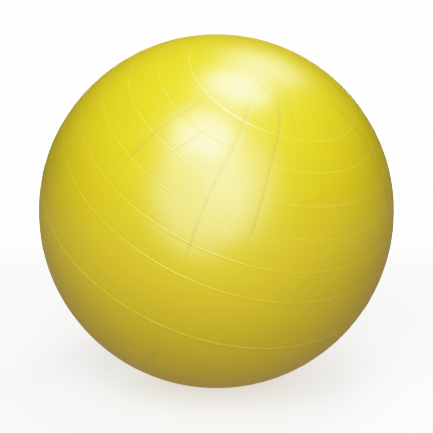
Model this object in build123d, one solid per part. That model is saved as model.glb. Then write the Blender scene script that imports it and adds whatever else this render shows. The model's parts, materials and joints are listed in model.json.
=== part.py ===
"""Inflatable exercise ball, 450 mm, resting on a floor.

Three pieces: the moulded vinyl skin, the valve seat bonded into it, and the pull-out valve plug.

Row frame, millimetres: origin at the centre of the flat where the ball rests, +Z up, -Y the front.
The skin and the valve share the ring axis, which runs through the ball's centre.  Each is drawn about
its own local Z, with the ball's centre as the local origin, and then turned onto that axis.
"""

from build123d import *
from math import cos, degrees, radians, sin, sqrt
import os

# ---- Ball ----
BALL_RADIUS = 225.0  # nominal 450 mm size, to the smooth outer skin
WALL = 1.2  # thickness of the inflated skin
CONTACT_RADIUS = 35.0  # flat that the ball's weight presses onto the floor
CENTRE_HEIGHT = sqrt(BALL_RADIUS**2 - CONTACT_RADIUS**2)

# ---- Ring axis: from the ball's centre to the upper ring pole ----
RING_AXIS_TILT = 37.0  # degrees from vertical
RING_AXIS_HEADING = -57.0  # degrees about +Z, from +X

# ---- Raised rings, placed by their angle from either ring pole ----
FIRST_RING = 27.0
LAST_RING = 72.0
RING_STEP = 9.0
RING_WIDTH = 2.0  # across the base of a ring
RING_HEIGHT = 0.3
PARTING_WIDTH = 2.4  # the mould's parting line, on the equator
PARTING_HEIGHT = 0.5

# ---- Valve seat, about the lower ring pole ----
COLLAR_RADIUS = 11.0
COLLAR_PROUD = 0.8  # above the skin, on the axis
COLLAR_EDGE = 0.5  # rounding of the collar's outer edge
FLANGE_RADIUS = 20.0
FLANGE_THICKNESS = 2.0
NECK_RADIUS = 9.0
NECK_LENGTH = 19.0  # inward from the flange
BORE_RADIUS = 5.0
RECESS_RADIUS = 9.6  # sinking for the plug's head
RECESS_DEPTH = 1.4
BOND_GAP = 0.1  # left between the seat and the skin it is bonded to

# ---- Valve plug ----
HEAD_RADIUS = 9.3
HEAD_THICKNESS = 1.6
HEAD_CROWN = 0.5  # rise of the domed top above the head's rim
HEAD_EDGE = 0.4
BARB_RADIUS = 4.9  # running clearance of 0.1 in the bore
ROOT_RADIUS = 4.4
BARB_PITCH = 4.0
BARB_COUNT = 4
BARB_LAND = 1.2  # straight part of a barb, at its full radius
FIRST_BARB = 4.0  # below the head
TIP_LENGTH = 3.0
TIP_RADIUS = 3.4
CORE_RADIUS = 2.2
CORE_DEPTH = 17.0  # from the tip
PRY_WIDTH = 5.0  # fingernail notch in the head's rim
PRY_DEPTH = 1.6

# ---- Derived ----
INNER_RADIUS = BALL_RADIUS - WALL
COLLAR_TOP = BALL_RADIUS + COLLAR_PROUD
RECESS_FLOOR = COLLAR_TOP - RECESS_DEPTH
SHANK_LENGTH = FIRST_BARB + BARB_COUNT * BARB_PITCH + TIP_LENGTH


def axis_plane(sign):
    """Plane at the ball's centre whose normal is the ring axis, or its opposite for sign -1."""
    tilt = radians(RING_AXIS_TILT)
    heading = radians(RING_AXIS_HEADING)
    axis = Vector(sin(tilt) * cos(heading), sin(tilt) * sin(heading), cos(tilt))
    return Plane(origin=(0, 0, CENTRE_HEIGHT), z_dir=axis * sign)


def on_circle(radius, polar):
    """Point of the half-profile at an angle in degrees from the local +Z axis."""
    return (radius * sin(radians(polar)), radius * cos(radians(polar)))


def height_at(sphere_radius, distance):
    """Height of a sphere's surface at a distance from its axis."""
    return sqrt(sphere_radius**2 - distance**2)


def ring_table():
    """Polar angle, base width and height of every raised ring, from pole to pole."""
    count = round((LAST_RING - FIRST_RING) / RING_STEP) + 1
    upper = [FIRST_RING + RING_STEP * i for i in range(count)]
    lower = [180.0 - polar for polar in reversed(upper)]
    rings = [(polar, RING_WIDTH, RING_HEIGHT) for polar in upper]
    rings.append((90.0, PARTING_WIDTH, PARTING_HEIGHT))
    rings += [(polar, RING_WIDTH, RING_HEIGHT) for polar in lower]
    return rings


def ringed_ball():
    """Solid ball with the raised rings, about the local Z axis."""
    edges = []
    start = 0.0
    for polar, width, height in ring_table():
        half = degrees(width / 2 / BALL_RADIUS)
        edges.append(skin_arc(start, polar - half))
        crest = on_circle(BALL_RADIUS + height, polar)
        edges.append(
            ThreePointArc(on_circle(BALL_RADIUS, polar - half), crest, on_circle(BALL_RADIUS, polar + half))
        )
        start = polar + half
    edges.append(skin_arc(start, 180.0))
    edges.append(Line(on_circle(BALL_RADIUS, 180.0), on_circle(BALL_RADIUS, 0.0)))
    return revolved(edges)


def skin_arc(start, end):
    """Arc of the smooth skin between two polar angles."""
    middle = (start + end) / 2
    return ThreePointArc(
        on_circle(BALL_RADIUS, start), on_circle(BALL_RADIUS, middle), on_circle(BALL_RADIUS, end)
    )


def revolved(edges):
    """Solid of revolution about local Z from a closed half-profile drawn in (radius, height)."""
    face = Plane.XZ * make_face(edges)
    return revolve(face, Axis.Z, 360)


def above(height):
    """Everything at or over a height of the row frame that the ball could reach."""
    side = 4 * BALL_RADIUS
    return Pos(0, 0, height) * Box(side, side, side, align=(Align.CENTER, Align.CENTER, Align.MIN))


def ball_shell():
    """One-piece skin: ringed outside, smooth inside, flat where it rests, with the valve's hole."""
    outer = (axis_plane(1).location * ringed_ball()) & above(0)
    inner = (Pos(0, 0, CENTRE_HEIGHT) * Sphere(INNER_RADIUS)) & above(WALL)
    hole = Pos(0, 0, BALL_RADIUS) * Cylinder(COLLAR_RADIUS + BOND_GAP, 20 * WALL)
    return outer - inner - axis_plane(-1).location * hole


def valve_seat():
    """Grommet: flange under the skin, collar through it, and the neck with the plug's bore."""
    flange_top = INNER_RADIUS - BOND_GAP
    flange_bottom = flange_top - FLANGE_THICKNESS
    neck_end = flange_bottom - NECK_LENGTH
    rim_out = (FLANGE_RADIUS, height_at(flange_top, FLANGE_RADIUS))
    rim_in = (FLANGE_RADIUS, height_at(flange_bottom, FLANGE_RADIUS))
    collar_foot = (COLLAR_RADIUS, height_at(flange_top, COLLAR_RADIUS))
    neck_root = (NECK_RADIUS, height_at(flange_bottom, NECK_RADIUS))
    middle = (COLLAR_RADIUS + FLANGE_RADIUS) / 2
    middle_in = (NECK_RADIUS + FLANGE_RADIUS) / 2
    edges = [
        Line((BORE_RADIUS, neck_end), (BORE_RADIUS, RECESS_FLOOR)),
        Line((BORE_RADIUS, RECESS_FLOOR), (RECESS_RADIUS, RECESS_FLOOR)),
        Line((RECESS_RADIUS, RECESS_FLOOR), (RECESS_RADIUS, COLLAR_TOP)),
        Line((RECESS_RADIUS, COLLAR_TOP), (COLLAR_RADIUS - COLLAR_EDGE, COLLAR_TOP)),
        ThreePointArc(
            (COLLAR_RADIUS - COLLAR_EDGE, COLLAR_TOP),
            (COLLAR_RADIUS - COLLAR_EDGE * (1 - sqrt(0.5)), COLLAR_TOP - COLLAR_EDGE * (1 - sqrt(0.5))),
            (COLLAR_RADIUS, COLLAR_TOP - COLLAR_EDGE),
        ),
        Line((COLLAR_RADIUS, COLLAR_TOP - COLLAR_EDGE), collar_foot),
        ThreePointArc(collar_foot, (middle, height_at(flange_top, middle)), rim_out),
        Line(rim_out, rim_in),
        ThreePointArc(rim_in, (middle_in, height_at(flange_bottom, middle_in)), neck_root),
        Line(neck_root, (NECK_RADIUS, neck_end)),
        Line((NECK_RADIUS, neck_end), (BORE_RADIUS, neck_end)),
    ]
    return axis_plane(-1).location * revolved(edges)


def barb_outline(head_foot):
    """Saw-tooth outline of the shank, from the foot of its lowest barb up to the head."""
    points = []
    for i in reversed(range(BARB_COUNT)):
        top = head_foot - FIRST_BARB - i * BARB_PITCH
        points += [(ROOT_RADIUS, top - BARB_PITCH), (BARB_RADIUS, top - BARB_LAND), (BARB_RADIUS, top)]
    return points + [(ROOT_RADIUS, head_foot - FIRST_BARB), (ROOT_RADIUS, head_foot)]


def valve_plug():
    """Stopper: domed head with a pry notch in its rim, and a barbed shank cored from its tip."""
    head_foot = RECESS_FLOOR
    rim_top = head_foot + HEAD_THICKNESS
    tip = head_foot - SHANK_LENGTH
    edge_in = HEAD_RADIUS - HEAD_EDGE
    dome_radius = (edge_in**2 + HEAD_CROWN**2) / (2 * HEAD_CROWN)
    dome_centre = rim_top + HEAD_CROWN - dome_radius
    outline = [(0, tip), (TIP_RADIUS, tip)] + barb_outline(head_foot)
    outline += [(HEAD_RADIUS, head_foot), (HEAD_RADIUS, rim_top - HEAD_EDGE), (edge_in, rim_top)]
    crown = (0, rim_top + HEAD_CROWN)
    edges = [Line(a, b) for a, b in zip(outline, outline[1:])]
    dome_middle = (edge_in / 2, dome_centre + height_at(dome_radius, edge_in / 2))
    edges.append(ThreePointArc((edge_in, rim_top), dome_middle, crown))
    edges.append(Line(crown, (0, tip)))
    core = Pos(0, 0, tip + CORE_DEPTH / 2) * Cylinder(CORE_RADIUS, CORE_DEPTH)
    notch = Pos(HEAD_RADIUS, 0, head_foot) * Box(2 * PRY_DEPTH, PRY_WIDTH, HEAD_THICKNESS)
    return axis_plane(-1).location * (revolved(edges) - core - notch)


def main():
    os.makedirs("parts", exist_ok=True)
    pieces = {"ball_shell": ball_shell(), "valve_seat": valve_seat(), "valve_plug": valve_plug()}
    for name, piece in pieces.items():
        export_step(piece, f"parts/{name}.step")


main()
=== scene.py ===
import json
from math import asin, ceil, cos, exp, pi, radians, sin, sqrt, tan

import bmesh
import bpy
import numpy as np
from mathutils import Matrix, Vector


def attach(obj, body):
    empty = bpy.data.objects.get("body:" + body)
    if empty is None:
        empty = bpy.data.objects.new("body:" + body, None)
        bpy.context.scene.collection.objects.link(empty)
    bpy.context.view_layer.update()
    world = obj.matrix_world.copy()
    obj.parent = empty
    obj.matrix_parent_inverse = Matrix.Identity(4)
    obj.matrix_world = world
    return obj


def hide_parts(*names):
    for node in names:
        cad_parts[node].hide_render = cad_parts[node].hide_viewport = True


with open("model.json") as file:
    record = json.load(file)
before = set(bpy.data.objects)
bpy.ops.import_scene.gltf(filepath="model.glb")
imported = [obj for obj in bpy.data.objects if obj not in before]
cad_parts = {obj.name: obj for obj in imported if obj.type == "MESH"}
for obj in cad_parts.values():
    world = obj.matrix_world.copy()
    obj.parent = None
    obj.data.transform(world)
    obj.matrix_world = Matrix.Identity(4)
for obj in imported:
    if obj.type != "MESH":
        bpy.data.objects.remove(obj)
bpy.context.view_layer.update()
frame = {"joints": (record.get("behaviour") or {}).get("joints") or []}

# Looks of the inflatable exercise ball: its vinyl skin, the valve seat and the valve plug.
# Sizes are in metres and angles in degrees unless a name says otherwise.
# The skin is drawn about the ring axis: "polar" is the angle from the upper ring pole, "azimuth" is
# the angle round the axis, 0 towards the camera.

# ---- The ball ----
BALL_RADIUS = 0.225
WALL = 0.0012
CONTACT_RADIUS = 0.035  # flat where it rests on the floor
CENTRE = Vector((0, 0, sqrt(BALL_RADIUS**2 - CONTACT_RADIUS**2)))
VALVE_AXIS = Vector(frame["joints"][0]["axis"]).normalized()
RING_AXIS = -VALVE_AXIS
TOP_SAG = 0.0015  # how much lower the crown sits under the skin's own weight
FLOOR_BLEND = 0.0006  # softness of the edge of the flat

# ---- Raised rings ----
RING_WIDTH = 0.0021
RINGS = {  # polar angle: height, and the strength of the painted highlight on the crest, 0 to 1
    27: (0.00013, 0.60),
    36: (0.00010, 0.65),
    45: (0.00008, 0.60),
    54: (0.00009, 0.50),
    63: (0.00015, 0.35),
    72: (0.00020, 0.40),
}
PARTING_WIDTH = 0.0023
PARTING_HEIGHT = 0.00036
# strength of the painted highlight on the parting line's crest, 0 to 1
PARTING_HIGHLIGHT = 0.60
PARTING_TILT = 1.6  # the mould's parting line runs a little askew of the rings
PARTING_TILT_AZIMUTH = -80
PARTING_OFFSET = -0.8
PARTING_REACH = 15  # how far from the line the skin is shifted with it
BAND_BULGE = 0.00012  # rise of the skin midway between two rings
SWELL_WAVES = 14  # long waves that make the skin a little uneven
SWELL_HEIGHT = 0.00003
SWELL_SHORTEST = 0.10  # wavelengths
SWELL_LONGEST = 0.24

# ---- Mesh of the skin ----
SKIN_COLUMNS = 280  # these and the steps keep the skin under 200,000 triangles
FRONT_CROWDING = 0.35  # how much closer together the columns are towards the camera
CAP_STEP = 0.0016  # between rows inside the first ring, where the small folds meet
UPPER_STEP = 0.0035
LOWER_STEP = 0.0062
PAD_STEP = 0.0005  # by the valve
FIRST_ROW = 0.25  # polar angle of the outer skin's first row
INNER_ROWS = 22
INNER_LAST_ROW = 4.0  # polar angle of the inner skin's last row
RING_STEPS = (-1.35, -0.95, -0.62, -0.31, 0.0, 0.31, 0.62, 0.95, 1.35)  # rows, in half widths

# ---- Valve: heights are along its axis, from the ball's centre ----
HOLE_RADIUS = 0.01105
PAD_RADIUS = 0.021  # the seat's flange shows through the skin as a faint raised disc
PAD_HEIGHT = 0.00035
PAD_EDGE = 0.0025  # width of the slope at the edge of the disc
WELD_RADII = (0.0138, 0.0176)  # rings pressed into the skin where it is welded to the flange
WELD_WIDTH = 0.0009
WELD_DEPTH = 0.00018
COLLAR_RADIUS = 0.011
COLLAR_TOP = BALL_RADIUS + 0.0008
RECESS_RADIUS = 0.0096
RECESS_FLOOR = COLLAR_TOP - 0.0014
FLANGE_RADIUS = 0.020
FLANGE_TOP = BALL_RADIUS - WALL - 0.0001
FLANGE_THICKNESS = 0.002
NECK_RADIUS = 0.009
NECK_LENGTH = 0.019
BORE_RADIUS = 0.005
HEAD_RADIUS = 0.0093
HEAD_THICKNESS = 0.0016
HEAD_CROWN = 0.0005
BARB_RADIUS = 0.0049
ROOT_RADIUS = 0.0044
BARB_PITCH = 0.004
BARB_COUNT = 4
BARB_LAND = 0.0012
FIRST_BARB = 0.004
TIP_LENGTH = 0.003
SHANK_LENGTH = FIRST_BARB + BARB_COUNT * BARB_PITCH + TIP_LENGTH
TIP_RADIUS = 0.0034
CORE_RADIUS = 0.0022
CORE_DEPTH = 0.017
PRY_WIDTH = 0.005
PRY_DEPTH = 0.0016
PRY_SIDE = Vector((0, VALVE_AXIS.z, -VALVE_AXIS.y)).normalized()
TURNS = 144  # facets round the valve's pieces
SHARP_ANGLE = 32
MM = 0.001
HEAD_EDGE = 0.4 * MM
HEAD_LIFT = 0.17 * MM  # the head rests on the seat's sealing ring
GATE_RADIUS = 0.95 * MM  # mark left by the mould's gate in the middle of the head
GATE_SINK = 0.12 * MM
SEAM_HEIGHT = 0.07 * MM  # the plug's two mould seams
SEAM_WIDTH = 0.15 * MM

# ---- Camera ----
VIEW_ELEVATION = 8
CAMERA_DISTANCE = 4.4 * BALL_RADIUS
BALL_SHARE = 0.8212  # the ball's radius as a share of half the picture's width
AIM_BELOW_CENTRE = 0.0078
AIM_RIGHT = 0.0001

# ---- Studio ----
COVE_RADIUS = 4.5
COVE_BEND = 1.5
COVE_HEIGHT = 6.0
COVE_SIDES = 96
FLOOR_GLOW = 0.55  # light of the floor's own, by the ball and at the wall
WALL_GLOW = 2.4
GLOW_START = 0.3  # the glow rises between these distances from the ball
GLOW_END = 2.6
AIR_BELOW = (0.42, 0.31, 0.165, 1)
AIR_ABOVE = (0.015, 0.015, 0.015, 1)
AIR_EDGE = 0.15  # the two blend over this much above and below the horizon, as the sine of elevation
KNEE = 0.584  # brightness at which highlights start to ease towards white
CURVE_REACH = 4.0  # brightness at the end of the camera's curve

# ---- Colours, linear ----
VINYL_DEEP = (0.555, 0.458, 0.0080, 1)
VINYL_LIGHT = (0.590, 0.498, 0.0100, 1)
VINYL_CREST_HIGHLIGHT = (0.70, 0.64, 0.075, 1)  # painted highlight: paler on a ring's crest, where the ridge would catch the light
# painted shade: the dark colour along each fold line
VINYL_FOLD_SHADE = (0.34, 0.272, 0.005, 1)
SEAT_DEEP = (0.50, 0.405, 0.0075, 1)
SEAT_LIGHT = (0.57, 0.475, 0.0105, 1)
PLUG_DEEP = (0.74, 0.72, 0.65, 1)
PLUG_LIGHT = (0.82, 0.81, 0.76, 1)
PLUG_GRIME = (0.42, 0.38, 0.27, 1)
FLOOR_WHITE = (0.80, 0.80, 0.80, 1)

# ---- Finish: depth of each bump in metres, and roughness from 0 to 1 ----
PEEL_DEPTH = 0.00009  # broad orange peel of the vinyl
RIPPLE_DEPTH = 0.000009
GRAIN_DEPTH = 0.0000035
FLASH_DEPTH = 0.00020  # ragged crests of the rings
SKIN_ROUGHNESS = (0.265, 0.315)
# share of the painted crest highlight's colour mixed in on the crests
CREST_HIGHLIGHT_MIX = 0.55
SCUFF_NARROWNESS = 42.0  # the scuffs are contour lines of a noise, and this makes them hairlines
SCUFF_ROUGHNESS = 0.05
FOLD_ROUGHNESS = 0.08
SEAT_ROUGHNESS = (0.36, 0.52)
SEAT_FLOW_DEPTH = 0.00003
SEAT_GRAIN_DEPTH = 0.000006
PLUG_ROUGHNESS = (0.30, 0.48)
PLUG_WAVE_DEPTH = 0.00004
PLUG_GRAIN_DEPTH = 0.000004


def direction(azimuth, elevation):
    """Unit vector from the ball; azimuth 0 is towards the front, -Y, and 90 towards +X."""
    turn, rise = radians(azimuth), radians(elevation)
    return Vector((sin(turn) * cos(rise), -cos(turn) * cos(rise), sin(rise)))


FACING = direction(0, VIEW_ELEVATION)
AZIMUTH_ZERO = (FACING - RING_AXIS * FACING.dot(RING_AXIS)).normalized()
AZIMUTH_QUARTER = RING_AXIS.cross(AZIMUTH_ZERO)


def unit(azimuth, polar):
    """Unit vectors from the ball's centre, for arrays of azimuth and polar angle."""
    turn, tilt = np.radians(azimuth), np.radians(polar)
    side = np.multiply.outer(np.cos(turn), AZIMUTH_ZERO)
    side += np.multiply.outer(np.sin(turn), AZIMUTH_QUARTER)
    return np.cos(tilt)[..., None] * np.array(RING_AXIS) + np.sin(tilt)[..., None] * side


def smooth_step(x):
    """0 below 0, 1 above 1, and an even S between them."""
    x = np.clip(x, 0.0, 1.0)
    return x * x * (3 - 2 * x)


# ---------------------------------------------------------------- folds
# Folds left in the skin by its packing: depth and half width in metres, how strong the painted shade
# along the line is, 0 to 1, and the route as (azimuth, polar).
FOLDS = [
    (0.00008, 0.0034, 1.0, [(-14, 17), (-7, 27), (-4.5, 36), (-5, 50), (-2, 70)]),
    (0.00006, 0.0042, 0.9, [(7, 12), (15, 24), (13.5, 36), (13.5, 50), (12.5, 60)]),
    (0.00008, 0.0030, 0.4, [(23, 14), (25.5, 20), (25, 26)]),
    (0.00004, 0.0032, 0.9, [(-33, 28), (-36, 41), (-35, 56)]),
    (0.00005, 0.0030, 0.4, [(-48, 31), (-45.5, 44)]),
    (0.00009, 0.0026, 0.9, [(-19, 33), (-22.5, 39.5), (-24.5, 47)]),
    (0.00007, 0.0030, 0.3, [(-94, 10), (-93, 18)]),
    (0.00007, 0.0034, 0.5, [(2, 99), (-1, 112)]),
    # the side and the back, folded the same way
    (0.00010, 0.0034, 0.8, [(78, 14), (84, 30), (81, 56)]),
    (0.00009, 0.0034, 0.6, [(118, 24), (112, 47), (115, 68)]),
    (0.00010, 0.0038, 0.9, [(152, 16), (158, 36), (154, 72)]),
    (0.00009, 0.0034, 0.6, [(-128, 22), (-134, 46)]),
    (0.00010, 0.0034, 0.8, [(-168, 38), (-163, 68)]),
    (0.00010, 0.0034, 0.8, [(170, 108), (164, 136), (167, 158)]),
    (0.00009, 0.0034, 0.7, [(-152, 112), (-147, 145)]),
    (0.00009, 0.0034, 0.6, [(128, 114), (133, 150)]),
    (0.00008, 0.0034, 0.5, [(-100, 111), (-106, 142)]),
    (0.00008, 0.0034, 0.5, [(40, 116), (35, 143)]),
]
# Short sharp folds that meet near the upper pole, as (azimuth, polar) routes
STAR_FOLDS = [
    [(-66, 16.5), (-49, 17.4), (-35, 17.1), (-24, 17.9), (-12, 20)],
    [(-33, 17.4), (-22, 21.6)],
    [(-29, 14.5), (-14, 15), (-1, 16.4)],
    [(-26, 12.8), (-12, 12.6), (0, 13.7)],
    [(-27, 18), (-8, 18.3)],
    [(-50, 21), (-38, 19.5)],
    [(160, 12), (172, 17), (-176, 24)],
    [(110, 13), (126, 17)],
]
STAR_DEPTH = 0.00016
STAR_WIDTH = 0.0022
FOLD_REACH = 0.010  # distance from a fold past which it leaves no line
REACH_FADE = 0.004
FOLD_END = 0.14  # share of a fold's length over which each end fades away
LINE_WIDTH = 0.0016  # of the painted shade line along a fold
GROOVE_DEPTH = 0.00004  # of the same line, as a bump
FOLD_SHADE_STRENGTH = 0.5  # painted shade: how far the line's colour goes from the vinyl's to the fold shade colour


def rounded_route(route):
    """Unit vectors along a route, with its corners cut twice so that it bends smoothly."""
    corners = [unit(np.array(azimuth, float), np.array(polar, float)) for azimuth, polar in route]
    for _ in range(2 if len(corners) > 2 else 0):
        cut = [corners[0]]
        for here, after in zip(corners, corners[1:]):
            cut += [0.75 * here + 0.25 * after, 0.25 * here + 0.75 * after]
        corners = cut + [corners[-1]]
    return [corner / np.linalg.norm(corner) for corner in corners]


def fold_track(units, route):
    """Signed distance of each point to a fold, and the fold's strength, which fades to its ends."""
    corners = rounded_route(route)
    spans = list(zip(corners, corners[1:]))
    lengths = np.cumsum([0.0] + [np.linalg.norm(end - start) for start, end in spans])
    nearest = np.full(len(units), np.inf)
    fade = np.zeros(len(units))
    for i, (start, end) in enumerate(spans):
        run = end - start
        along = np.clip((units - start) @ run / (run @ run), 0, 1)
        foot = start + along[:, None] * run
        foot /= np.linalg.norm(foot, axis=1)[:, None]
        gap = units - foot
        distance = np.linalg.norm(gap, axis=1) * BALL_RADIUS
        travelled = (lengths[i] + along * (lengths[i + 1] - lengths[i])) / lengths[-1]
        closer = distance < np.abs(nearest)
        signed = np.where(gap @ np.cross(start, end) < 0, -distance, distance)
        nearest = np.where(closer, signed, nearest)
        ends = smooth_step(travelled / FOLD_END) * smooth_step((1 - travelled) / FOLD_END)
        fade = np.where(closer, ends, fade)
    return nearest, fade


def fold_field(units):
    """Dip of the skin at each point, and the signed distance and strength of the nearest long fold."""
    dip = np.zeros(len(units))
    nearest = np.full(len(units), FOLD_REACH)
    strength = np.zeros(len(units))
    for depth, width, mark, route in FOLDS:
        distance, fade = fold_track(units, route)
        dip += depth * fade * np.exp(-((distance / width) ** 2))
        closer = np.abs(distance) < np.abs(nearest)
        nearest = np.where(closer, distance, nearest)
        level = fade * mark * smooth_step((FOLD_REACH - np.abs(distance)) / REACH_FADE)
        strength = np.where(closer, level, strength)
    for route in STAR_FOLDS:
        distance, fade = fold_track(units, route)
        dip += STAR_DEPTH * fade * np.exp(-((distance / STAR_WIDTH) ** 2))
    return dip, nearest, strength


# ---------------------------------------------------------------- skin mesh
def swell(units):
    """Gentle unevenness of the skin, as a sum of long waves in fixed random directions."""
    draw = np.random.default_rng(11)
    total = np.zeros(len(units))
    for _ in range(SWELL_WAVES):
        heading = draw.normal(size=3)
        heading /= np.linalg.norm(heading)
        wavelength = draw.uniform(SWELL_SHORTEST, SWELL_LONGEST)
        total += np.sin(units @ heading * BALL_RADIUS * 2 * pi / wavelength + draw.uniform(0, 2 * pi))
    return total * SWELL_HEIGHT


def all_rings():
    """(polar, width, height, strength of the painted crest highlight) of every raised ring, from pole to
    pole.
    """
    upper = [(polar, RING_WIDTH, *look) for polar, look in RINGS.items()]
    lower = [(180 - polar, *rest) for polar, *rest in reversed(upper)]
    return upper + [(90, PARTING_WIDTH, PARTING_HEIGHT, PARTING_HIGHLIGHT)] + lower


def degrees_of(length):
    """Angle at the ball's centre of a length on its skin."""
    return length / BALL_RADIUS * 180 / pi


def even_steps(start, end, step):
    """Angles from start to end, both left out, no further apart than a length on the skin."""
    count = ceil((end - start) / degrees_of(step))
    return [start + (end - start) * i / count for i in range(1, count)]


def outer_rows(last):
    """Polar angles of the outer skin's rows: close together over the rings, wider between them."""
    rows, done = [], FIRST_ROW
    for polar, width, _, _ in all_rings():
        ridge = [polar + degrees_of(width / 2) * ring_step for ring_step in RING_STEPS]
        step = CAP_STEP if not rows else UPPER_STEP if polar <= 90 else LOWER_STEP
        rows += [done] + even_steps(done, ridge[0], step) + ridge[:-1]
        done = ridge[-1]
    pad = 180 - degrees_of(PAD_RADIUS * 1.1)
    rows += [done] + even_steps(done, pad, LOWER_STEP) + [pad] + even_steps(pad, last, PAD_STEP)
    return np.array(rows + [last])


def ring_lift(polar):
    """Height of the raised rings and of the bands between them, and a mask of the painted highlight on
    their crests.
    """
    lift, crest = np.zeros(len(polar)), np.zeros(len(polar))
    rings = all_rings()
    for centre, width, height, crest_highlight_share in rings:
        across = np.clip((polar - centre) / degrees_of(width / 2), -1, 1)
        bump = (1 - across * across) ** 2
        lift += height * bump
        crest = np.maximum(crest, bump * crest_highlight_share)
    for (upper, *_), (lower, *_) in zip(rings, rings[1:]):
        share = np.clip((polar - upper) / (lower - upper), 0, 1)
        lift += BAND_BULGE * 4 * share * (1 - share)
    return lift, crest


def valve_pad(polar):
    """The raised disc over the seat's flange, with the weld's rings pressed into it."""
    radius = BALL_RADIUS * np.sin(np.radians(polar))
    pad = PAD_HEIGHT * smooth_step((PAD_RADIUS - radius) / PAD_EDGE)
    for weld in WELD_RADII:
        pad -= WELD_DEPTH * np.exp(-(((radius - weld) / WELD_WIDTH) ** 2))
    return np.where(polar > 90, pad, 0.0)


def parting_shift(azimuth, polar):
    """How far the parting line, and the skin by it, is from its even place."""
    window = smooth_step((PARTING_REACH - np.abs(polar - 90)) / PARTING_REACH)
    tilt = PARTING_TILT * np.cos(np.radians(azimuth - PARTING_TILT_AZIMUTH))
    return window * (tilt + PARTING_OFFSET)


def settle(points):
    """The ball on the floor: the crown a little lower, and the foot pressed flat."""
    z = points[:, 2]
    crown = 2 * CENTRE.z
    z = z - TOP_SAG * (np.clip(z, 0, None) / crown) ** 2
    points[:, 2] = (z + np.sqrt(z * z + FLOOR_BLEND**2)) / 2
    return points


def skin_points():
    """Vertices of the closed skin: pole, outer rows down to the valve's hole, inner rows back, pole."""
    even = np.arange(SKIN_COLUMNS) * 360 / SKIN_COLUMNS
    azimuths = even - FRONT_CROWDING * np.degrees(np.sin(np.radians(even)))
    rim = 180 - degrees_of(HOLE_RADIUS)
    rows = outer_rows(rim)
    polar, azimuth = (grid.ravel() for grid in np.meshgrid(rows, azimuths, indexing="ij"))
    lift, crest = ring_lift(polar)
    units = unit(azimuth, polar + parting_shift(azimuth, polar))
    dip, distance, strength = fold_field(units)
    radius = BALL_RADIUS + lift + valve_pad(polar) + swell(units) - dip
    outer = units * radius[:, None]
    inner_polars = np.linspace(rim, INNER_LAST_ROW, INNER_ROWS)
    polar, azimuth = (grid.ravel() for grid in np.meshgrid(inner_polars, azimuths, indexing="ij"))
    inner = unit(azimuth, polar) * (BALL_RADIUS - WALL)
    axis = np.array([RING_AXIS])
    first, last = axis * outer_pole_radius(), axis * (BALL_RADIUS - WALL)
    points = np.vstack([first, outer, inner, last]) + np.array(CENTRE)
    plain = len(inner) + 1
    fields = {
        # mask of the ring crests, which also sets how strong the painted highlight is there
        "ring_crest_highlight": np.concatenate([[0.0], crest, np.zeros(plain)]),
        "fold_distance": np.concatenate([[FOLD_REACH], distance, np.full(plain, FOLD_REACH)]),
        "fold_strength": np.concatenate([[0.0], strength, np.zeros(plain)]),
    }
    return settle(points), len(rows) + INNER_ROWS, fields


def outer_pole_radius():
    """Distance of the outer skin from the centre at the upper pole."""
    top = np.array([RING_AXIS])
    return BALL_RADIUS + swell(top)[0] - fold_field(top)[0][0]


def skin_faces(rows):
    """Quads between rows, and a fan at each pole."""
    column = np.arange(SKIN_COLUMNS)
    after = (column + 1) % SKIN_COLUMNS
    near = 1 + np.arange(rows - 1)[:, None] * SKIN_COLUMNS
    far = near + SKIN_COLUMNS
    quads = np.stack([near + column, far + column, far + after, near + after], -1)
    last_row, last = 1 + (rows - 1) * SKIN_COLUMNS, 1 + rows * SKIN_COLUMNS
    top = [(0, 1 + int(i), 1 + int(j)) for i, j in zip(column, after)]
    bottom = [(last, last_row + int(j), last_row + int(i)) for i, j in zip(column, after)]
    return [tuple(quad) for quad in quads.reshape(-1, 4).tolist()] + top + bottom


def make_mesh(name, points, faces, fields=None):
    """Smooth-shaded object from points and faces, with one float attribute for each field."""
    mesh = bpy.data.meshes.new(name)
    mesh.from_pydata(np.asarray(points).tolist(), [], faces)
    mesh.polygons.foreach_set("use_smooth", [True] * len(mesh.polygons))
    for key, values in (fields or {}).items():
        layer = mesh.attributes.new(key, "FLOAT", "POINT")
        layer.data.foreach_set("value", np.asarray(values, np.float32))
    mesh.update()
    piece = bpy.data.objects.new(name, mesh)
    bpy.context.scene.collection.objects.link(piece)
    return piece


def make_skin():
    """The one-piece skin, which stands for the plain ball_shell."""
    points, rows, fields = skin_points()
    skin = make_mesh("vinyl_skin", points, skin_faces(rows), fields)
    skin.data.materials.append(skin_vinyl())
    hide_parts("ball_shell")
    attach(skin, "ball")


# ---------------------------------------------------------------- valve
def rounded_outline(corners, closed):
    """Points of an outline given as (radius, height, rounding), with an arc at each rounded corner."""
    points = []
    count = len(corners)
    for i, (radius, height, rounding) in enumerate(corners):
        here = np.array((radius, height))
        ends = not closed and i in (0, count - 1)
        if ends or rounding == 0:
            points.append(here)
            continue
        back = np.array(corners[i - 1][:2]) - here
        ahead = np.array(corners[(i + 1) % count][:2]) - here
        reach = min(rounding, 0.45 * np.linalg.norm(back), 0.45 * np.linalg.norm(ahead))
        start = here + back / np.linalg.norm(back) * reach
        end = here + ahead / np.linalg.norm(ahead) * reach
        for share in np.linspace(0, 1, 6):
            rest = 1 - share
            points.append(rest**2 * start + 2 * share * rest * here + share**2 * end)
    return points


def on_valve(radius, angle, height):
    """Point by the valve: its distance from the axis, its angle from the pry notch, and its height."""
    across = VALVE_AXIS.cross(PRY_SIDE)
    side = PRY_SIDE * cos(angle) + across * sin(angle)
    return CENTRE + side * radius + VALVE_AXIS * height


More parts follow.
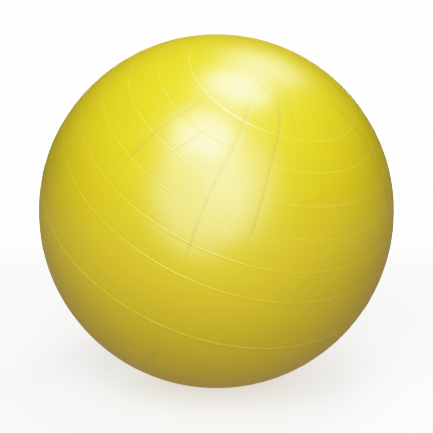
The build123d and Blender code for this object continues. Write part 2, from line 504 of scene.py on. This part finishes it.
def turned(name, outline, closed, seam=0.0):
    """Piece of revolution about the valve's axis; seam is the height of its mould's two seams."""
    rows = [point for point in outline if point[0] > 0]
    points, faces = [], []
    for radius, height in rows:
        for i in range(TURNS):
            angle = 2 * pi * i / TURNS
            off = abs(abs(sin(angle / 2 + pi / 4)) - sqrt(0.5)) if seam else 1.0
            lift = seam * exp(-((off * 2 * radius / SEAM_WIDTH) ** 2))
            points.append(on_valve(radius + lift, angle, height))
    spans = len(rows) if closed else len(rows) - 1
    for row in range(spans):
        near, far = row * TURNS, (row + 1) % len(rows) * TURNS
        for i in range(TURNS):
            after = (i + 1) % TURNS
            faces.append((near + i, near + after, far + after, far + i))
    if not closed:
        for row, height, order in ((0, outline[0][1], -1), (len(rows) - 1, outline[-1][1], 1)):
            points.append(CENTRE + VALVE_AXIS * height)
            for i in range(TURNS):
                rim = (row * TURNS + i, row * TURNS + (i + 1) % TURNS)[::order]
                faces.append(rim + (len(points) - 1,))
    return make_mesh(name, [tuple(point) for point in points], faces)


def sharpen(piece):
    """Keeps the edges over an angle crisp on a smooth-shaded piece."""
    piece.data.set_sharp_from_angle(angle=radians(SHARP_ANGLE))


def cap_height(sphere, radius):
    """Height of a sphere's surface at a distance from the valve's axis."""
    return sqrt(sphere**2 - radius**2)


def make_seat():
    """The grommet: collar with a flash bead, recess with a sealing ring, bore, neck and flange."""
    low = FLANGE_TOP - FLANGE_THICKNESS
    neck_end = low - NECK_LENGTH
    skin = cap_height(BALL_RADIUS + PAD_HEIGHT, HOLE_RADIUS)
    seal = [(6.9, 0.0), (7.3, 0.16), (7.7, 0.16), (8.1, 0.0)]
    outline = [
        (BORE_RADIUS, neck_end, 0.3 * MM),
        (BORE_RADIUS, RECESS_FLOOR - 0.5 * MM, 0.2 * MM),
        (BORE_RADIUS + 0.5 * MM, RECESS_FLOOR, 0.2 * MM),
    ]
    outline += [(radius * MM, RECESS_FLOOR + rise * MM, 0.12 * MM) for radius, rise in seal]
    outline += [
        (RECESS_RADIUS, RECESS_FLOOR, 0.3 * MM),
        (RECESS_RADIUS, COLLAR_TOP, 0.25 * MM),
        (COLLAR_RADIUS, COLLAR_TOP, 0.5 * MM),
        (COLLAR_RADIUS, skin + 0.28 * MM, 0.2 * MM),
        (COLLAR_RADIUS + 0.75 * MM, skin + 0.10 * MM, 0.15 * MM),
        (COLLAR_RADIUS + 0.80 * MM, skin - 0.10 * MM, 0.05 * MM),
        (COLLAR_RADIUS, skin - 0.12 * MM, 0.0),
        (COLLAR_RADIUS, cap_height(FLANGE_TOP, COLLAR_RADIUS), 0.3 * MM),
        (FLANGE_RADIUS, cap_height(FLANGE_TOP, FLANGE_RADIUS), 0.4 * MM),
        (FLANGE_RADIUS, cap_height(low, FLANGE_RADIUS), 0.4 * MM),
        (NECK_RADIUS, cap_height(low, NECK_RADIUS), 0.8 * MM),
        (NECK_RADIUS, neck_end, 0.5 * MM),
    ]
    seat = turned("valve_grommet", rounded_outline(outline[::-1], True), True)
    sharpen(seat)
    seat.data.materials.append(seat_vinyl())
    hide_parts("valve_seat")
    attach(seat, "ball")


def head_outline():
    """Head of the plug from its gate mark out over the dome and its finger ring to the underside."""
    rim_top = RECESS_FLOOR + HEAD_THICKNESS
    crown = rim_top + HEAD_CROWN
    edge = HEAD_RADIUS - HEAD_EDGE
    points = [
        (0.0, crown - GATE_SINK, 0.0),
        (GATE_RADIUS - 0.15 * MM, crown - GATE_SINK, 0.05 * MM),
        (GATE_RADIUS, crown, 0.1 * MM),
    ]
    dome = [(2.5, 0.0), (4.0, 0.0), (5.2, 0.0), (5.6, 0.22), (6.4, 0.22), (6.8, 0.0), (8.0, 0.0)]
    for radius, sink in dome:
        drop = HEAD_CROWN * (radius * MM / edge) ** 2
        points.append((radius * MM, crown - drop - sink * MM, 0.2 * MM))
    points += [
        (edge, rim_top, 0.2 * MM),
        (HEAD_RADIUS, rim_top - HEAD_EDGE, 0.2 * MM),
        (HEAD_RADIUS, RECESS_FLOOR + HEAD_LIFT + 0.18 * MM, 0.15 * MM),
        (HEAD_RADIUS - 0.3 * MM, RECESS_FLOOR + HEAD_LIFT, 0.1 * MM),
    ]
    return points


def shank_outline():
    """Barbed shank of the plug, from its root down to the tip and up inside the core."""
    foot = RECESS_FLOOR + HEAD_LIFT
    tip = RECESS_FLOOR - SHANK_LENGTH
    points = [(ROOT_RADIUS, foot, 0.5 * MM), (ROOT_RADIUS, RECESS_FLOOR - FIRST_BARB, 0.1 * MM)]
    for i in range(BARB_COUNT):
        top = RECESS_FLOOR - FIRST_BARB - i * BARB_PITCH
        points.append((BARB_RADIUS, top, 0.12 * MM))
        points.append((BARB_RADIUS, top - BARB_LAND, 0.2 * MM))
        points.append((ROOT_RADIUS, top - BARB_PITCH, 0.1 * MM))
    points += [
        (TIP_RADIUS, tip, 0.4 * MM),
        (CORE_RADIUS + 0.3 * MM, tip, 0.1 * MM),
        (CORE_RADIUS, tip + 0.3 * MM, 0.1 * MM),
        (CORE_RADIUS * 0.92, tip + CORE_DEPTH, 0.4 * MM),
        (0.0, tip + CORE_DEPTH + 0.5 * MM, 0.0),
    ]
    return points


def cut_notch(plug):
    """Cuts the fingernail notch out of the head's rim."""
    middle = RECESS_FLOOR + HEAD_THICKNESS
    box = bmesh.new()
    bmesh.ops.create_cube(box, size=2.0)
    upright = [edge for edge in box.edges if abs(edge.verts[0].co.z - edge.verts[1].co.z) > 1]
    bmesh.ops.scale(box, verts=box.verts, vec=(PRY_DEPTH, PRY_WIDTH / 2, 3 * MM))
    bmesh.ops.bevel(box, geom=upright, offset=0.6 * MM, segments=5, affect="EDGES", profile=0.5)
    mesh = bpy.data.meshes.new("notch_cutter")
    box.to_mesh(mesh)
    box.free()
    cutter = bpy.data.objects.new("notch_cutter", mesh)
    bpy.context.scene.collection.objects.link(cutter)
    across = VALVE_AXIS.cross(PRY_SIDE)
    turn = Matrix((PRY_SIDE, across, VALVE_AXIS)).transposed()
    cutter.matrix_world = Matrix.Translation(on_valve(HEAD_RADIUS, 0, middle)) @ turn.to_4x4()
    cut = plug.modifiers.new("notch", "BOOLEAN")
    cut.operation = "DIFFERENCE"
    cut.solver = "EXACT"
    cut.object = cutter
    graph = bpy.context.evaluated_depsgraph_get()
    result = bpy.data.meshes.new_from_object(plug.evaluated_get(graph))
    plug.modifiers.clear()
    plug.data = result
    bpy.data.objects.remove(cutter)


def make_plug():
    """The stopper that is pressed into the grommet."""
    outline = rounded_outline(head_outline() + shank_outline(), False)
    plug = turned("plug_moulding", outline, False, SEAM_HEIGHT)
    cut_notch(plug)
    sharpen(plug)
    plug.data.materials.clear()
    plug.data.materials.append(plug_plastic())
    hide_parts("valve_plug")
    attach(plug, "plug")


# ---------------------------------------------------------------- materials
class Graph:
    """Small helper to write a node material top to bottom."""

    def __init__(self, name):
        self.material = bpy.data.materials.new(name)
        self.material.use_nodes = True
        self.tree = self.material.node_tree
        self.shader = self.tree.nodes["Principled BSDF"]

    def node(self, kind, inputs=None, **settings):
        made = self.tree.nodes.new("ShaderNode" + kind)
        for key, value in settings.items():
            setattr(made, key, value)
        for key, value in (inputs or {}).items():
            self.put(made, key, value)
        return made

    def put(self, node, key, value):
        """Sets an input to a value, or links it to a socket or to a node's first output."""
        socket = node.inputs[key]
        if isinstance(value, bpy.types.Node):
            value = value.outputs[0]
        if isinstance(value, bpy.types.NodeSocket):
            self.tree.links.new(value, socket)
        else:
            socket.default_value = value

    def math(self, operation, a, b=0.0, c=0.0):
        return self.node("Math", {0: a, 1: b, 2: c}, operation=operation)

    def times(self, a, b):
        return self.math("MULTIPLY", a, b)

    def place(self):
        return self.node("TexCoord").outputs["Object"]

    def noise(self, vector, scale, detail=2.0, roughness=0.5):
        inputs = {"Vector": vector, "Scale": scale, "Detail": detail, "Roughness": roughness}
        return self.node("TexNoise", inputs).outputs["Fac"]

    def stretched(self, vector, scale):
        return self.node("VectorMath", {0: vector, 1: scale}, operation="MULTIPLY")

    def attribute(self, name):
        return self.node("Attribute", attribute_name=name).outputs["Fac"]

    def remap(self, value, low, high):
        """A 0 to 1 value stretched to low to high."""
        return self.node("MapRange", {"Value": value, "To Min": low, "To Max": high}).outputs["Result"]

    def mix(self, factor, a, b):
        made = self.node("Mix", data_type="RGBA")
        for index, value in ((0, factor), (6, a), (7, b)):
            self.put(made, index, value)
        return made.outputs[2]

    def total(self, parts):
        """Sum of several values."""
        result = parts[0]
        for part in parts[1:]:
            result = self.math("ADD", result, part)
        return result

    def bump(self, height):
        """Bump whose height is in metres."""
        inputs = {"Height": height, "Distance": 1.0, "Strength": 1.0}
        return self.node("Bump", inputs).outputs["Normal"]


def fold_line(graph):
    """Mask that is 1 on a fold's line, times the fold's strength; it places the painted shade along the
    folds.
    """
    away = graph.math("DIVIDE", graph.attribute("fold_distance"), LINE_WIDTH)
    bell = graph.math("EXPONENT", graph.times(graph.math("POWER", away, 2.0), -1.0))
    return graph.times(bell, graph.attribute("fold_strength"))


def scuffs(graph, place, cloud):
    """Mask of hairline scuffs, which lie only where the skin's cloudy tone is light."""
    field = graph.noise(graph.stretched(place, (1.0, 1.0, 3.5)), 14.0, 6.0, 0.62)
    away = graph.math("ABSOLUTE", graph.math("SUBTRACT", field, 0.5))
    hairline = graph.math("SUBTRACT", 1.0, graph.times(away, SCUFF_NARROWNESS))
    return graph.times(graph.math("MAXIMUM", hairline, 0.0), graph.math("GREATER_THAN", cloud, 0.52))


def skin_vinyl():
    """Satin-gloss soft vinyl: cloudy tone, painted highlight on the ring crests, painted shade along the
    fold lines, orange peel, hairline scuffs and a fine grain.
    """
    graph = Graph("skin_vinyl")
    place = graph.place()
    cloud = graph.noise(place, 9.0, 3.0)
    crest = graph.attribute("ring_crest_highlight")
    line = fold_line(graph)
    tone = graph.mix(cloud, VINYL_DEEP, VINYL_LIGHT)
    # painted highlight: the ring crests are made paler, as if lit
    tone = graph.mix(graph.times(crest, CREST_HIGHLIGHT_MIX), tone, VINYL_CREST_HIGHLIGHT)
    # painted shade: the folds' lines darkened in the base colour
    tone = graph.mix(graph.times(line, FOLD_SHADE_STRENGTH), tone, VINYL_FOLD_SHADE)
    graph.put(graph.shader, "Base Color", tone)
    fine = graph.noise(place, 70.0, 4.0, 0.6)
    rough = graph.remap(graph.math("MULTIPLY_ADD", fine, 0.4, graph.times(cloud, 0.6)), *SKIN_ROUGHNESS)
    scuffed = graph.times(scuffs(graph, place, cloud), SCUFF_ROUGHNESS)
    rough = graph.total([rough, scuffed, graph.times(line, FOLD_ROUGHNESS)])
    graph.put(graph.shader, "Roughness", rough)
    graph.shader.inputs["IOR"].default_value = 1.6
    graph.shader.inputs["Specular IOR Level"].default_value = 0.85
    groove = graph.times(line, -GROOVE_DEPTH)
    peel = graph.times(graph.noise(place, 38.0), PEEL_DEPTH)
    ripple = graph.times(graph.noise(place, 160.0, 3.0), RIPPLE_DEPTH)
    grain = graph.times(graph.noise(place, 1100.0), GRAIN_DEPTH)
    flash = graph.times(graph.times(crest, graph.noise(place, 420.0)), FLASH_DEPTH)
    graph.put(graph.shader, "Normal", graph.bump(graph.total([groove, peel, ripple, grain, flash])))
    return graph.material


def seat_vinyl():
    """Stiffer, duller vinyl of the grommet, with flow marks round the bore and a matt moulded grain."""
    graph = Graph("seat_vinyl")
    place = graph.place()
    cloud = graph.noise(place, 120.0, 4.0, 0.6)
    flow = graph.noise(graph.stretched(place, (1.0, 0.35, 1.0)), 340.0, 3.0, 0.6)
    graph.put(graph.shader, "Base Color", graph.mix(cloud, SEAT_DEEP, SEAT_LIGHT))
    graph.put(graph.shader, "Roughness", graph.remap(flow, *SEAT_ROUGHNESS))
    graph.shader.inputs["IOR"].default_value = 1.54
    marks = graph.times(flow, SEAT_FLOW_DEPTH)
    grain = graph.times(graph.noise(place, 4200.0), SEAT_GRAIN_DEPTH)
    graph.put(graph.shader, "Normal", graph.bump(graph.total([marks, grain])))
    return graph.material


def plug_plastic():
    """Waxy off-white polyethylene, a little yellowed and greyed by handling."""
    graph = Graph("plug_plastic")
    place = graph.place()
    cloud = graph.noise(place, 150.0, 4.0, 0.6)
    handling = graph.noise(place, 60.0, 5.0, 0.7)
    grime = graph.times(graph.math("MAXIMUM", graph.math("SUBTRACT", handling, 0.55), 0.0), 1.6)
    tone = graph.mix(cloud, PLUG_DEEP, PLUG_LIGHT)
    graph.put(graph.shader, "Base Color", graph.mix(grime, tone, PLUG_GRIME))
    graph.put(graph.shader, "Roughness", graph.remap(handling, *PLUG_ROUGHNESS))
    graph.shader.inputs["IOR"].default_value = 1.51
    graph.shader.inputs["Subsurface Weight"].default_value = 0.12
    graph.shader.inputs["Subsurface Radius"].default_value = (0.9 * MM, 0.8 * MM, 0.6 * MM)
    waves = graph.times(cloud, PLUG_WAVE_DEPTH)
    grain = graph.times(graph.noise(place, 3600.0), PLUG_GRAIN_DEPTH)
    graph.put(graph.shader, "Normal", graph.bump(graph.total([waves, grain])))
    return graph.material


# ---------------------------------------------------------------- stage, camera, lights
def make_camera():
    """Camera in front of the ball and a little above it, aimed so that the ball fills its frame."""
    data = bpy.data.cameras.new("camera")
    camera = bpy.data.objects.new("camera", data)
    bpy.context.scene.collection.objects.link(camera)
    up = Vector((0, 0, 1))
    aim = CENTRE - up * AIM_BELOW_CENTRE + Vector((AIM_RIGHT, 0, 0))
    camera.location = CENTRE + FACING * CAMERA_DISTANCE
    camera.rotation_mode = "QUATERNION"
    camera.rotation_quaternion = (aim - camera.location).to_track_quat("-Z", "Y")
    half_ball = tan(asin(BALL_RADIUS / CAMERA_DISTANCE))
    data.sensor_width = 36.0
    data.lens = data.sensor_width / 2 / (half_ball / BALL_SHARE)
    data.clip_start = 0.05
    data.clip_end = 60.0
    bpy.context.scene.camera = camera


def make_floor():
    """Round studio floor that curves up into a pale wall on every side, and lights itself a little."""
    flat_end = COVE_RADIUS - COVE_BEND
    profile = [(0.4, 0.0), (1.2, 0.0), (flat_end, 0.0)]
    for angle in range(10, 91, 10):
        across = COVE_BEND * sin(radians(angle))
        profile.append((flat_end + across, COVE_BEND * (1 - cos(radians(angle)))))
    profile.append((COVE_RADIUS, COVE_HEIGHT))
    turns = [2 * pi * i / COVE_SIDES for i in range(COVE_SIDES)]
    points = [(0.0, 0.0, 0.0)]
    for radius, height in profile:
        points += [(radius * cos(turn), radius * sin(turn), height) for turn in turns]
    faces = []
    for i in range(COVE_SIDES):
        after = (i + 1) % COVE_SIDES
        faces.append((0, 1 + i, 1 + after))
        for row in range(len(profile) - 1):
            near, far = 1 + row * COVE_SIDES, 1 + (row + 1) * COVE_SIDES
            faces.append((near + i, far + i, far + after, near + after))
    floor = make_mesh("studio_floor", points, faces)
    graph = Graph("floor_white")
    graph.shader.inputs["Base Color"].default_value = FLOOR_WHITE
    graph.shader.inputs["Roughness"].default_value = 0.9
    graph.shader.inputs["Specular IOR Level"].default_value = 0.0
    graph.shader.inputs["Emission Color"].default_value = (1.0, 1.0, 1.0, 1)
    away = graph.node("VectorMath", {0: graph.place()}, operation="LENGTH").outputs["Value"]
    inputs = {"Value": away, "From Min": GLOW_START, "From Max": GLOW_END}
    inputs |= {"To Min": FLOOR_GLOW, "To Max": WALL_GLOW}
    glow = graph.node("MapRange", inputs, interpolation_type="SMOOTHSTEP").outputs["Result"]
    graph.put(graph.shader, "Emission Strength", glow)
    floor.data.materials.append(graph.material)
    floor.visible_glossy = False  # the world's light from below stands for it on the ball
    floor.visible_diffuse = False


# Soft lights round the ball: name, azimuth, elevation, distance, width, height, spread, watts
LIGHTS = [
    ("front_softbox", -9.2, 18.8, 1.7, 1.65, 2.30, 126, 13.4),
    ("overhead_softbox", 13.9, 27.0, 1.8, 1.24, 2.72, 90, 4.53),
    ("lamp", -11.0, 52.4, 1.6, 0.98, 0.81, 90, 3.2),
    ("top_lamp", 61.1, 79.3, 1.6, 0.66, 0.84, 131, 5.36),
    ("rear_softbox", 180, 4, 1.7, 1.5, 1.0, 180, 26.0),
    ("back_lamp", 142.0, 61.2, 1.6, 0.98, 0.85, 43, 0.46),
]


def make_light(name, azimuth, elevation, distance, width, height, spread, watts):
    """Oval soft light aimed at the ball's centre, which the camera doesn't see."""
    data = bpy.data.lights.new(name, "AREA")
    data.shape = "ELLIPSE"
    data.size = width
    data.size_y = height
    data.spread = radians(spread)
    data.energy = watts
    light = bpy.data.objects.new(name, data)
    bpy.context.scene.collection.objects.link(light)
    towards = direction(azimuth, elevation)
    light.location = CENTRE + towards * distance
    light.rotation_mode = "QUATERNION"
    light.rotation_quaternion = towards.to_track_quat("Z", "Y")
    light.visible_camera = False


def make_world():
    """Dark air above the horizon, and warm light below it in place of the floor's bounce."""
    world = bpy.data.worlds.new("studio_air")
    world.use_nodes = True
    tree = world.node_tree
    place = tree.nodes.new("ShaderNodeTexCoord")
    split = tree.nodes.new("ShaderNodeSeparateXYZ")
    rise = tree.nodes.new("ShaderNodeMapRange")
    rise.inputs["From Min"].default_value = -AIR_EDGE
    rise.inputs["From Max"].default_value = AIR_EDGE
    colour = tree.nodes.new("ShaderNodeMix")
    colour.data_type = "RGBA"
    colour.inputs[6].default_value = AIR_BELOW
    colour.inputs[7].default_value = AIR_ABOVE
    tree.links.new(place.outputs["Generated"], split.inputs[0])
    tree.links.new(split.outputs["Z"], rise.inputs["Value"])
    tree.links.new(rise.outputs["Result"], colour.inputs[0])
    tree.links.new(colour.outputs[2], tree.nodes["Background"].inputs["Color"])
    bpy.context.scene.world = world


def soften_highlights():
    """Camera response: straight up to the knee, then easing towards white."""
    view = bpy.context.scene.view_settings
    view.view_transform = "Standard"
    view.use_curve_mapping = True
    mapping = view.curve_mapping
    mapping.white_level = [CURVE_REACH] * 3
    curve = mapping.curves[3]
    room = 1 - KNEE
    levels = [KNEE + room * step for step in (0.25, 0.6, 1.0, 1.6, 2.4, 3.6)]
    curve.points[-1].location = (1.0, 1.0)
    curve.points[0].location = (0.0, 0.0)
    for level in [KNEE] + levels:
        rise = 1 - room * exp(-(level - KNEE) / room)
        curve.points.new(level / CURVE_REACH, rise)
    for point in curve.points:
        point.handle_type = "AUTO_CLAMPED"
    mapping.update()


make_camera()
make_floor()
make_world()
for light_row in LIGHTS:
    make_light(*light_row)
make_skin()
make_seat()
make_plug()
soften_highlights()
